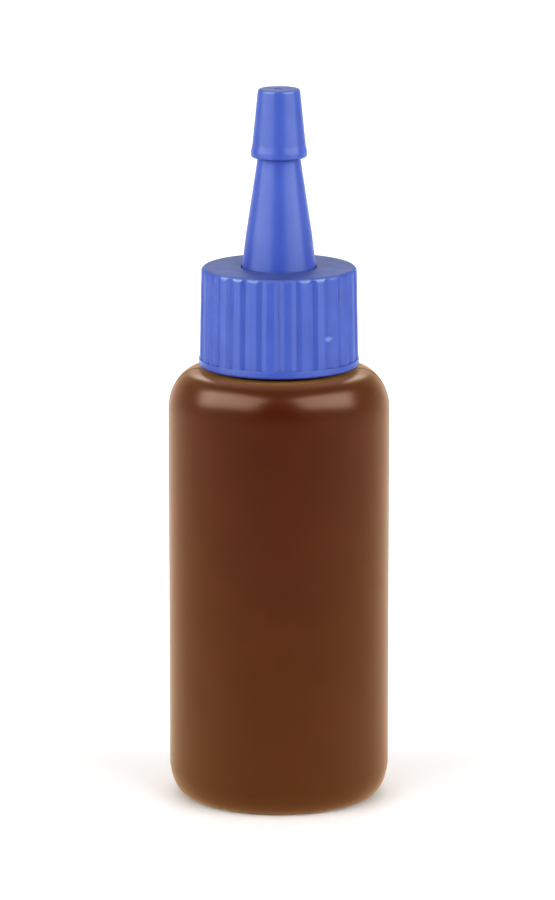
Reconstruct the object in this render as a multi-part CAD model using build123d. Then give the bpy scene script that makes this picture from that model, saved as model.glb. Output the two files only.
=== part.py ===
from build123d import *
import os
from math import hypot, radians, sin, sqrt, tan

# Ink bottle: a squeezable 100 ml bottle with a two-piece squirt closure and a push-on tip cap.
# Millimetres, +Z up. The origin is the centre of the base, on the plane the bottle stands on.
# Most outlines are lists of (radius, height, corner rounding) points turned about the Z axis.

# ---- bottle body ----
BODY_R = 22.2  # outside radius of the straight wall
WALL = 1.3  # blow-moulded wall
BASE_ROUND_R, BASE_ROUND_H = 3.6, 6.3  # reach of the rounded base corner, inwards and upwards
SHOULDER_R, SHOULDER_H = 6.0, 8.2  # reach of the rounded shoulder, inwards and downwards
SHOULDER_Z = 88.0  # top of the shoulder, where the neck starts
STANDING_RING = 1.2  # width of the flat ring the bottle stands on
PUSH_UP = 1.6  # rise of the middle of the base
PUSH_UP_LIP = 1.0  # sloped edge between the standing ring and the domed middle
DOME_R = 112.0  # sphere of the domed middle
PINCH_LENGTH, PINCH_WIDTH, PINCH_RISE = 24.0, 0.6, 0.3  # weld line left by the mould under the base
SEAM_WIDTH, SEAM_RISE = 0.3, 0.05  # the mould's parting line up both sides
SEAM_START_Z = 1.0

# ---- neck, a 28 mm screw finish ----
NECK_R = 12.55  # root radius of the thread
NECK_BORE_R = 10.8
NECK_TOP_Z = 106.0  # sealing land
NECK_ROOT_BEVEL = 0.4
MOUTH_BEVEL = 0.3
PITCH = 25.4 / 6  # six threads to the inch, right-handed
THREAD_DEPTH = 1.2
NECK_THREAD_Z = 97.4  # middle of the thread at its lower end
NECK_TURNS, COLLAR_TURNS = 1.5, 1.25
NECK_THREAD_WIDTHS = (2.3, 0.9)  # at the root and at the crest
COLLAR_THREAD_WIDTHS = (2.1, 0.8)
COLLAR_THREAD_DROP = 1.6  # the collar's thread bears on the neck's thread from this far below
BITE = 0.2  # how far an added ridge or ring sinks into the wall that carries it

# ---- ink ----
INK_GAP = 0.05  # clearance to the wall
INK_LEVEL_Z = 92.0  # the level stands just inside the neck

# ---- screw collar ----
COLLAR_Z, COLLAR_TOP_Z = 88.8, 108.85
BAND_R, BAND_H, BAND_ROUND = 16.09, 1.6, 0.55  # plain band round the bottom edge
SKIRT_R_LOW, SKIRT_R_HIGH = 15.97, 15.63  # over the ribs, just above the band and just below the top
TOP_ROUND = 1.0  # rounding of the top edge
COLLAR_BORE_R = 14.05
COLLAR_TOP_WALL = 1.65
HOLE_CLEARANCE = 0.12  # round the nozzle's stem
BEAD_RISE, BEAD_HEIGHT = 0.7, 1.0  # bead that keeps the nozzle's flange in the collar
RIB_COUNT = 28
RIB_CREST_WIDTH = 1.48
RIB_FLANK_SLOPE = 27.0  # degrees, how gently a rib's sides run down into the grooves
RIB_ROUND = 0.8  # rounding between a rib's crest and its sides
GROOVE_DEPTH = 0.38
GROOVE_END_DROP = 0.5  # from the top face down to the upper end of a groove's floor

# ---- nozzle ----
CONE_R = 7.4  # where the cone meets the collar's top face
CONE_KNEE_R, CONE_KNEE_Z = 6.66, 115.2  # below this height the cone is steeper
TIP_R, TIP_Z = 2.54, 142.4
ORIFICE_R, ORIFICE_LENGTH = 0.9, 3.4
NOZZLE_WALL = 1.25
FLANGE_R, FLANGE_T = 13.6, 1.15
PLUG_CLEARANCE = 0.08  # plug seal in the neck's bore
PLUG_LENGTH, PLUG_WALL = 4.0, 1.0
FUNNEL_H = 0.8  # height over which the bore narrows to the orifice

# ---- tip cap ----
CAP_Z, CAP_TOP_Z = 131.0, 144.7
CAP_RIM_R, CAP_RIM_H = 5.61, 1.25  # wider rim round the open end
CAP_STEP_H = 1.3  # height over which the rim runs out into the cap's side
CAP_R_LOW, CAP_R_HIGH = 5.34, 4.2  # just above the step, and at the top
CAP_TOP_ROUND = 0.6
CAP_FIT = 0.06  # between the cap's socket and the cone
CAP_CEILING_Z = 142.75
CAP_MOUTH_BEVEL = 0.35
PIN_R, PIN_LENGTH = 0.8, 2.4  # pin that closes the orifice
GATE_R, GATE_DEPTH, GATE_STUB_R, GATE_STUB_H = 1.0, 0.25, 0.35, 0.18  # moulding gate in the cap's top


def outline(corners):
    """Closed outline through (x, y, rounding) corners, each rounded by a tangent arc."""
    arcs, stops = [], []
    for i, (x, y, rounding) in enumerate(corners):
        here = Vector(x, y)
        back = (Vector(*corners[i - 1][:2]) - here).normalized()
        ahead = (Vector(*corners[(i + 1) % len(corners)][:2]) - here).normalized()
        half_angle = radians(back.get_angle(ahead)) / 2
        reach = rounding / tan(half_angle)
        stops.append((here + back * reach, here + ahead * reach))
        if rounding:
            middle = here + (back + ahead).normalized() * (rounding / sin(half_angle) - rounding)
            arcs.append(ThreePointArc(stops[-1][0], middle, stops[-1][1]))
    runs = [(stops[i - 1][1], stops[i][0]) for i in range(len(stops))]
    lines = [Line(start, end) for start, end in runs if (end - start).length > 1e-5]
    return Curve() + arcs + lines


def turned(corners):
    """Solid of revolution from (radius, height, corner rounding) points."""
    return revolve(make_face(Plane.XZ * outline(corners)), axis=Axis.Z)


def between(z, low, high):
    """Radius at a height on the straight line between two (radius, height) points."""
    return low[0] + (high[0] - low[0]) * (z - low[1]) / (high[1] - low[1])


def dome_z(radius):
    """Height of the underside of the base's domed middle at a radius."""
    return PUSH_UP - (DOME_R - sqrt(DOME_R**2 - radius**2))


def vessel(inset, ring_width, neck):
    """Solid with the bottle's outside shape moved inwards by inset, standing on a ring of ring_width.

    neck lists the (radius, height) points of the neck from its root up; the last is the mouth.
    """
    base_x, shoulder_x = BODY_R - BASE_ROUND_R, BODY_R - SHOULDER_R
    ring_r = base_x - ring_width
    lip_r = ring_r - PUSH_UP_LIP
    crown, dome_middle, dome_edge = [(r, inset + dome_z(r)) for r in (0, lip_r / 2, lip_r)]
    base_curve = EllipticalCenterArc(
        (base_x, BASE_ROUND_H), BASE_ROUND_R - inset, BASE_ROUND_H - inset, -90, arc_size=90
    )
    shoulder_curve = EllipticalCenterArc(
        (shoulder_x, SHOULDER_Z - SHOULDER_H), SHOULDER_R - inset, SHOULDER_H - inset, 0, arc_size=90
    )
    edges = [
        ThreePointArc(crown, dome_middle, dome_edge),
        Line(dome_edge, (ring_r, inset)),
        base_curve,
        Line(base_curve @ 1, shoulder_curve @ 0),
        shoulder_curve,
        Polyline(shoulder_curve @ 1, (neck[0][0], SHOULDER_Z - inset), *neck, (0, neck[-1][1]), crown),
    ]
    if ring_width:
        edges.append(Line((ring_r, inset), (base_x, inset)))
    return revolve(make_face(Plane.XZ * (Curve() + edges)), axis=Axis.Z)


def helical_ridge(wall_r, direction, widths, start_z, turns):
    """Thread ridge that rises from wall_r along direction, +1 outwards or -1 inwards."""
    crest_half = widths[1] / 2
    flank = (widths[0] / 2 - crest_half) / THREAD_DEPTH
    root_half = crest_half + flank * (THREAD_DEPTH + BITE)
    path = Helix(PITCH, PITCH * turns, wall_r, center=(0, 0, start_z))
    root, crest = -BITE * direction, THREAD_DEPTH * direction
    section = Polyline(
        (root, -root_half), (crest, -crest_half), (crest, crest_half), (root, root_half), close=True
    )
    where = Plane(origin=(wall_r, 0, start_z), x_dir=(1, 0, 0), z_dir=(0, -1, 0))
    return sweep(make_face(where * section), path=path, is_frenet=True)


def pinch_off():
    """Low weld ridge across the domed middle of the base, following the dome."""
    half = PINCH_LENGTH / 2
    end_z = dome_z(half) - PINCH_RISE
    lower = ThreePointArc((-half, end_z), (0, dome_z(0) - PINCH_RISE), (half, end_z))
    upper_z = dome_z(0) + BITE
    sides = Polyline(lower @ 1, (half, upper_z), (-half, upper_z), lower @ 0)
    return extrude(make_face(Plane.XZ * (Curve() + [lower, sides])), amount=PINCH_WIDTH / 2, both=True)


def seam():
    """Parting line: a fine ridge up both sides, from the base corner to the neck's root."""
    swollen = vessel(-SEAM_RISE, STANDING_RING, [(NECK_R, SHOULDER_Z + BITE)])
    height = SHOULDER_Z + 2 * BITE - SEAM_START_Z
    slice_box = Pos(0, 0, SEAM_START_Z + height / 2) * Box(3 * BODY_R, SEAM_WIDTH, height)
    return swollen & slice_box


def make_bottle():
    bevel_z, flare_r = NECK_TOP_Z - MOUTH_BEVEL, NECK_BORE_R + MOUTH_BEVEL
    outside = vessel(0, STANDING_RING, [(NECK_R, bevel_z), (NECK_R - MOUTH_BEVEL, NECK_TOP_Z)])
    inside = vessel(WALL, 0, [(NECK_BORE_R, bevel_z), (flare_r, NECK_TOP_Z), (flare_r, NECK_TOP_Z + 1)])
    root_ring = turned([
        (NECK_R - BITE, SHOULDER_Z - BITE, 0),
        (NECK_R + NECK_ROOT_BEVEL, SHOULDER_Z - BITE, 0),
        (NECK_R + NECK_ROOT_BEVEL, SHOULDER_Z, 0),
        (NECK_R, SHOULDER_Z + NECK_ROOT_BEVEL, 0),
        (NECK_R - BITE, SHOULDER_Z + NECK_ROOT_BEVEL, 0),
    ])
    thread = helical_ridge(NECK_R, 1, NECK_THREAD_WIDTHS, NECK_THREAD_Z, NECK_TURNS)
    return outside + seam() + root_ring + thread + pinch_off() - inside


def make_ink():
    return vessel(WALL + INK_GAP, 0, [(NECK_BORE_R - INK_GAP, INK_LEVEL_Z)])


SKIRT_LOW = (SKIRT_R_LOW, COLLAR_Z + BAND_H)
SKIRT_HIGH = (SKIRT_R_HIGH, COLLAR_TOP_Z - TOP_ROUND)


def rib_prism():
    """Bar on the +X side with a rib's section, reaching past the skirt, that leans with the skirt."""
    crest_r = between(COLLAR_Z, SKIRT_LOW, SKIRT_HIGH)
    inner_r, outer_r = crest_r - GROOVE_DEPTH - BITE, crest_r + 2
    half, flat_half = RIB_CREST_WIDTH / 2, RIB_CREST_WIDTH / 4
    foot_half = half + (crest_r - inner_r) / tan(radians(RIB_FLANK_SLOPE))
    section = outline([
        (inner_r, -foot_half, 0), (crest_r, -half, RIB_ROUND), (crest_r, -flat_half, 0),
        (outer_r, -flat_half, 0), (outer_r, flat_half, 0),
        (crest_r, flat_half, 0), (crest_r, half, RIB_ROUND), (inner_r, foot_half, 0),
    ])
    slope = (SKIRT_HIGH[0] - SKIRT_LOW[0]) / (SKIRT_HIGH[1] - SKIRT_LOW[1])
    height = COLLAR_TOP_Z + 2 - COLLAR_Z
    face = make_face(Plane.XY.offset(COLLAR_Z) * section)
    return extrude(face, amount=height * hypot(1, slope), dir=(slope, 0, 1))


def grooves():
    """The space between the grip ribs, to be cut from the plain skirt."""
    low_z, high_z = SKIRT_LOW[1], COLLAR_TOP_Z - GROOVE_END_DROP
    floor_low = SKIRT_R_LOW - GROOVE_DEPTH
    floor_high = between(high_z, SKIRT_LOW, SKIRT_HIGH) - GROOVE_DEPTH
    outer_r = BAND_R + 1
    ring = turned([
        (floor_low, low_z, 0),
        (outer_r, low_z, 0),
        (outer_r, high_z + outer_r - floor_high, 0),
        (floor_high, high_z, 0),
    ])
    prism, step = rib_prism(), 360 / RIB_COUNT
    return ring - [Rot(0, 0, -90 + step * (i + 0.5)) * prism for i in range(RIB_COUNT)]


def make_collar():
    top, underside = COLLAR_TOP_Z, COLLAR_TOP_Z - COLLAR_TOP_WALL
    hole_r = CONE_R + HOLE_CLEARANCE
    plain = turned([
        (COLLAR_BORE_R, COLLAR_Z, 0.4),
        (BAND_R, COLLAR_Z, BAND_ROUND),
        (BAND_R, SKIRT_LOW[1], 0.1),
        (*SKIRT_LOW, 0),
        (*SKIRT_HIGH, 0),
        (SKIRT_R_HIGH, top, TOP_ROUND),
        (hole_r, top, 0.15),
        (hole_r, underside, 0),
        (COLLAR_BORE_R, underside, 0.3),
    ])
    bead_top, bead_low = NECK_TOP_Z, NECK_TOP_Z - BEAD_HEIGHT
    bead = turned([
        (COLLAR_BORE_R + BITE, bead_top, 0),
        (COLLAR_BORE_R, bead_top, 0),
        (COLLAR_BORE_R - BEAD_RISE, (bead_top + bead_low) / 2, 0.2),
        (COLLAR_BORE_R, bead_low, 0),
        (COLLAR_BORE_R + BITE, bead_low, 0),
    ])
    thread_z = NECK_THREAD_Z - COLLAR_THREAD_DROP
    thread = helical_ridge(COLLAR_BORE_R, -1, COLLAR_THREAD_WIDTHS, thread_z, COLLAR_TURNS)
    return plain - grooves() + bead + thread


def cone_r(z):
    """Outside radius of the nozzle's cone at a height."""
    knee = (CONE_KNEE_R, CONE_KNEE_Z)
    if z < CONE_KNEE_Z:
        return between(z, (CONE_R, COLLAR_TOP_Z), knee)
    return between(z, knee, (TIP_R, TIP_Z))


def make_nozzle():
    orifice_z = TIP_Z - ORIFICE_LENGTH
    funnel_z = orifice_z - FUNNEL_H
    plug_r = NECK_BORE_R - PLUG_CLEARANCE
    plug_bore_r = plug_r - PLUG_WALL
    flange_top = NECK_TOP_Z + FLANGE_T
    return turned([
        (plug_bore_r, NECK_TOP_Z - PLUG_LENGTH, 0.3),
        (plug_r, NECK_TOP_Z - PLUG_LENGTH, 0.4),
        (plug_r, NECK_TOP_Z, 0),
        (FLANGE_R, NECK_TOP_Z, 0.15),
        (FLANGE_R, flange_top, 0.3),
        (CONE_R, flange_top, 0.03),
        (CONE_R, COLLAR_TOP_Z, 0),
        (CONE_KNEE_R, CONE_KNEE_Z, 40),
        (TIP_R, TIP_Z, 0.4),
        (ORIFICE_R, TIP_Z, 0.15),
        (ORIFICE_R, orifice_z, 0),
        (cone_r(funnel_z) - NOZZLE_WALL, funnel_z, 0),
        (CONE_KNEE_R - NOZZLE_WALL, CONE_KNEE_Z, 0),
        (CONE_R - NOZZLE_WALL, NECK_TOP_Z, 0.4),
        (plug_bore_r, NECK_TOP_Z, 0.4),
    ])


def make_cap():
    rim_top = CAP_Z + CAP_RIM_H
    socket_z = CAP_Z + CAP_MOUTH_BEVEL
    gate_z = CAP_TOP_Z - GATE_DEPTH
    stub_z = gate_z + GATE_STUB_H
    pin_z = CAP_CEILING_Z - PIN_LENGTH
    return turned([
        (cone_r(CAP_Z) + CAP_FIT + CAP_MOUTH_BEVEL, CAP_Z, 0.1),
        (CAP_RIM_R, CAP_Z, 0.4),
        (CAP_RIM_R, rim_top, 1.0),
        (CAP_R_LOW, rim_top + CAP_STEP_H, 1.0),
        (CAP_R_HIGH, CAP_TOP_Z, CAP_TOP_ROUND),
        (GATE_R, CAP_TOP_Z, 0.1),
        (GATE_R, gate_z, 0.1),
        (GATE_STUB_R, gate_z, 0),
        (GATE_STUB_R, stub_z, 0),
        (0, stub_z, 0),
        (0, pin_z, 0),
        (PIN_R, pin_z, 0.35),
        (PIN_R, CAP_CEILING_Z, 0.2),
        (cone_r(CAP_CEILING_Z) + CAP_FIT, CAP_CEILING_Z, 0.2),
        (cone_r(socket_z) + CAP_FIT, socket_z, 0),
    ])


def main():
    os.makedirs("parts", exist_ok=True)
    nodes = {
        "bottle": make_bottle(),
        "ink_fill": make_ink(),
        "screw_collar": make_collar(),
        "nozzle": make_nozzle(),
        "tip_cap": make_cap(),
    }
    for name, shape in nodes.items():
        shape.label = name
        export_step(shape, f"parts/{name}.step")


main()
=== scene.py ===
import math

import bpy
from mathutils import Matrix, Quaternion, Vector

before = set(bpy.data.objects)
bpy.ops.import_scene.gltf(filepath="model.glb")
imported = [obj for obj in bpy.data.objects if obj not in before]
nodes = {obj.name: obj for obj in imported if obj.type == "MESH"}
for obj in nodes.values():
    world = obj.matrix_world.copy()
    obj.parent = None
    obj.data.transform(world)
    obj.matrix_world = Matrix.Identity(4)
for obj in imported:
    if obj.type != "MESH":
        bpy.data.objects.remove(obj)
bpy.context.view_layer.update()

# A squeezable ink bottle with a screw collar, a nozzle and a tip cap. Metres, in the frame's axes:
# +Z up, the front towards -Y. All five pieces are the frame's own; this script gives them their
# materials, and sets the floor, the surroundings, the lights and the camera.

MM = 0.001

# The camera stands in front of the bottle and looks down on it a little.
CAMERA_PLACE = Vector((-0.3, -944, 279.7)) * MM
CAMERA_DIP = 12.46  # degrees below the horizon
CAMERA_LENS = 191.3  # millimetres, on the default sensor, 36 wide

FLOOR_HALF = 7.0

# The white surroundings fade upwards. A fade is the height of the direction, from and to, where
# 1 is straight up, and the radiance, from and to.
WORLD_FADE = (0.1, 0.6, 0.62, 0.35)
MIRRORED_FADE = (0.1, 0.4, 0.5, 0.05)  # as glossy surfaces see it

# The panels face a point on the bottle's axis from this far away.
PANEL_TARGET = Vector((0, 0, 0.08))
PANEL_DISTANCE = 3.5

PAINTED_LIGHT_FROM, PAINTED_LIGHT_TO = 5 * MM, 85 * MM  # heights between which the full bottle's brown changes; the lighter brown at the foot is painted light, as from the floor
LEVEL_BLUR = 0.5 * MM  # the brown ends this far below and above the ink's level

# A small pale spot on the collar's side, in millimetres.
PALE_SPOT_PLACE = (9.9, -12.4, 96.3)
PALE_SPOT_REACH = (1.2, 1.2, 0.75)


# ---- node trees ----
class Nodes:
    """Short forms for building a node tree."""

    def __init__(self, tree):
        self.tree = tree

    def add(self, kind, inputs=(), **settings):
        """New node; what goes into an input is another node's output or a plain value."""
        node = self.tree.nodes.new(kind)
        for name, value in settings.items():
            setattr(node, name, value)
        for key, value in dict(inputs).items():
            self.feed(node.inputs[key], value)
        return node

    def feed(self, socket, value):
        if isinstance(value, bpy.types.NodeSocket):
            self.tree.links.new(value, socket)
        else:
            socket.default_value = value

    def height_of(self, vector):
        return self.add("ShaderNodeSeparateXYZ", {"Vector": vector}).outputs["Z"]

    def ramp(self, value, low, high, to_low=0.0, to_high=1.0):
        """Maps value from low..high to to_low..to_high, clamped."""
        limits = {"From Min": low, "From Max": high, "To Min": to_low, "To Max": to_high}
        return self.add("ShaderNodeMapRange", {"Value": value, **limits}).outputs["Result"]


class Material(Nodes):
    """A Principled material whose patterns are fixed to the piece."""

    def __init__(self, name):
        self.data = bpy.data.materials.new(name)
        self.data.use_nodes = True
        super().__init__(self.data.node_tree)
        self.shader = self.tree.nodes["Principled BSDF"]
        coordinates = self.add("ShaderNodeTexCoord").outputs
        self.place, self.normal = coordinates["Object"], coordinates["Normal"]

    def set(self, **sockets):
        """Feeds the shader's sockets; each name has _ for a space."""
        for name, value in sockets.items():
            self.feed(self.shader.inputs[name.replace("_", " ")], value)

    def noise(self, size_mm, detail=2):
        """Noise whose features are about size_mm across."""
        scaled = self.add(
            "ShaderNodeMapping", {"Vector": self.place, "Scale": [1 / (size_mm * MM)] * 3}
        )
        texture = self.add(
            "ShaderNodeTexNoise", {"Vector": scaled.outputs["Vector"], "Scale": 1, "Detail": detail}
        )
        return texture.outputs["Fac"]

    def clouds(self, size_mm):
        """Soft patches from 0 to 1, about size_mm across."""
        return self.ramp(self.noise(size_mm, 3), 0.35, 0.65)

    def calc(self, operation, a, b):
        return self.add("ShaderNodeMath", {0: a, 1: b}, operation=operation).outputs["Value"]

    def mix(self, factor, a, b):
        """Colour between a and b, each a socket or linear red, green and blue."""
        node = self.add("ShaderNodeMix", data_type="RGBA")
        sockets = {socket.name: socket for socket in node.inputs if socket.enabled}
        self.feed(sockets["Factor"], factor)
        for name, colour in (("A", a), ("B", b)):
            self.feed(sockets[name], (*colour, 1) if isinstance(colour, tuple) else colour)
        return next(socket for socket in node.outputs if socket.enabled)

    def bump(self, height, depth_mm):
        node = self.add("ShaderNodeBump", {"Height": height, "Distance": depth_mm * MM})
        return node.outputs["Normal"]

    def spot(self, middle_mm, reach_mm):
        """1 inside a small ragged spot, falling to 0 at its rim."""
        scale = [1 / (reach * MM) for reach in reach_mm]
        offset = [-middle / reach for middle, reach in zip(middle_mm, reach_mm)]
        local = self.add(
            "ShaderNodeMapping", {"Vector": self.place, "Scale": scale, "Location": offset}
        ).outputs["Vector"]
        distance = self.add("ShaderNodeVectorMath", {0: local}, operation="LENGTH").outputs["Value"]
        ragged = self.calc("ADD", distance, self.noise(0.35))
        return self.ramp(ragged, 1.0, 1.35, 1.0, 0.0)


# ---- camera, floor, surroundings and lights ----
def add_camera():
    data = bpy.data.cameras.new("camera")
    data.lens = CAMERA_LENS
    data.clip_start = 0.05
    data.clip_end = 20
    camera = bpy.data.objects.new("camera", data)
    camera.location = CAMERA_PLACE
    camera.rotation_euler = (math.radians(90 - CAMERA_DIP), 0, 0)
    bpy.context.scene.collection.objects.link(camera)
    bpy.context.scene.camera = camera


def add_floor():
    half = FLOOR_HALF
    corners = [(-half, -half, 0), (half, -half, 0), (half, half, 0), (-half, half, 0)]
    mesh = bpy.data.meshes.new("floor")
    mesh.from_pydata(corners, [], [(0, 1, 2, 3)])
    floor = bpy.data.objects.new("floor", mesh)
    bpy.context.scene.collection.objects.link(floor)
    pale = Material("pale_floor")
    pale.set(Base_Color=(0.92, 0.92, 0.92, 1), Roughness=0.7, Specular_IOR_Level=0.2)
    mesh.materials.append(pale.data)


def add_world():
    world = bpy.data.worlds.new("studio")
    world.use_nodes = True
    n = Nodes(world.node_tree)
    height = n.height_of(n.add("ShaderNodeTexCoord").outputs["Generated"])
    mirrored = n.add("ShaderNodeLightPath").outputs["Is Glossy Ray"]
    fades = {"A": n.ramp(height, *WORLD_FADE), "B": n.ramp(height, *MIRRORED_FADE)}
    radiance = n.add("ShaderNodeMix", {"Factor": mirrored, **fades}).outputs["Result"]
    background = n.tree.nodes["Background"]
    n.feed(background.inputs["Color"], (1, 1, 1, 1))
    n.feed(background.inputs["Strength"], radiance)
    bpy.context.scene.world = world


def add_panel(name, azimuth, elevation, roll, size, radiance, hidden_from):
    """Rectangular light that faces its target. Angles are in degrees, with azimuth 0 on the
    camera's side, and the size is the width and the height."""
    az, el = math.radians(azimuth), math.radians(elevation)
    away = Vector((math.sin(az) * math.cos(el), -math.cos(az) * math.cos(el), math.sin(el)))
    turn = away.to_track_quat("Z", "Y") @ Quaternion((0, 0, 1), math.radians(roll))
    data = bpy.data.lights.new(name, "AREA")
    data.shape = "RECTANGLE"
    data.size, data.size_y = size
    data.energy = radiance * math.pi * size[0] * size[1]
    light = bpy.data.objects.new(name, data)
    light.location = PANEL_TARGET + away * PANEL_DISTANCE
    light.rotation_euler = turn.to_euler()
    setattr(light, hidden_from, False)
    bpy.context.scene.collection.objects.link(light)


def add_lights():
    """The gloss panels only make highlights, and the fill panels only light the surfaces."""
    gloss, fill = "visible_diffuse", "visible_glossy"  # the rays that each kind is hidden from
    add_panel("gloss_left", -71, 44, 20, (4.4, 2.5), 5.6, gloss)
    add_panel("gloss_right", 66, 44, -22, (3.8, 2.4), 5.6, gloss)
    add_panel("gloss_back", 180, 32, 0, (2.4, 1.3), 2.4, gloss)
    add_panel("fill_back", 180, 12, 0, (4.5, 1.6), 2.4, fill)
    add_panel("fill_left", -58, 15, 0, (3.85, 1.75), 4.0, fill)
    add_panel("fill_right", 58, 15, 0, (3.85, 1.75), 4.0, fill)


# ---- materials; colours are linear ----
def blue_plastic():
    """Satin plastic; the turned mould left fine rings that spread its highlights up and down."""
    n = Material("blue_polyethylene")
    blue = n.mix(n.clouds(6), (0.062, 0.100, 0.335), (0.068, 0.109, 0.358))
    # A small spot of lighter blue on the collar's side.
    pale_spot = (0.17, 0.22, 0.46)
    n.set(Base_Color=n.mix(n.spot(PALE_SPOT_PLACE, PALE_SPOT_REACH), blue, pale_spot))

    # Faces that point up are rougher, and have no rings.
    facing_up = n.height_of(n.normal)
    uneven = n.ramp(n.noise(2.5, 3), 0.3, 0.7, 0.36, 0.42)
    n.set(Roughness=n.calc("MULTIPLY", uneven, n.ramp(facing_up, 0.6, 0.95, 1.0, 1.5)))
    n.set(Anisotropic=n.ramp(facing_up, 0.3, 0.8, 0.85, 0.0), Anisotropic_Rotation=0.25)
    round_z = n.add("ShaderNodeTangent", direction_type="RADIAL", axis="Z").outputs["Tangent"]
    n.set(Tangent=round_z, Normal=n.bump(n.noise(0.6), 0.004))

    n.set(IOR=1.5, Specular_IOR_Level=0.64, Specular_Tint=(1, 1, 0.45, 1))
    n.set(Subsurface_Weight=0.35, Subsurface_Radius=(0.6, 0.8, 1.6), Subsurface_Scale=MM)
    return n.data


def bottle_plastic():
    """Milky plastic, brown as far up as the ink stands behind it."""
    n = Material("natural_polyethylene")
    height = n.height_of(n.place)
    shade = n.clouds(9)
    # Painted light: the lower brown is lighter, as if lit from the floor below, and fades up to the
    # darker upper brown.
    low = n.mix(shade, (0.075, 0.0245, 0.0045), (0.081, 0.0275, 0.0055))
    high = n.mix(shade, (0.056, 0.0075, 0.0008), (0.063, 0.0095, 0.001))
    brown = n.mix(n.ramp(height, PAINTED_LIGHT_FROM, PAINTED_LIGHT_TO), low, high)
    milky = (0.42, 0.39, 0.33)
    level = max(corner[2] for corner in nodes["ink_fill"].bound_box)
    empty = n.ramp(height, level - LEVEL_BLUR, level + LEVEL_BLUR)
    n.set(Base_Color=n.mix(empty, brown, milky))
    n.set(Roughness=0.28, IOR=1.45, Specular_IOR_Level=0.38, Specular_Tint=(1, 0.98, 0.9, 1))
    n.set(Sheen_Weight=0.4, Sheen_Roughness=0.6, Sheen_Tint=(1, 0.64, 0.33, 1))
    return n.data


def brown_ink():
    n = Material("brown_ink")
    n.set(Base_Color=n.mix(n.clouds(12), (0.080, 0.021, 0.007), (0.090, 0.025, 0.009)))
    n.set(Roughness=0.15, IOR=1.35)
    return n.data


def paint(material, *names):
    for name in names:
        mesh = nodes[name].data
        mesh.materials.clear()
        mesh.materials.append(material)


add_camera()
add_floor()
add_world()
add_lights()
paint(blue_plastic(), "screw_collar", "nozzle", "tip_cap")
paint(bottle_plastic(), "bottle")
paint(brown_ink(), "ink_fill")
bpy.context.scene.view_settings.view_transform = "Standard"
bpy.context.scene.view_settings.look = "Very High Contrast"
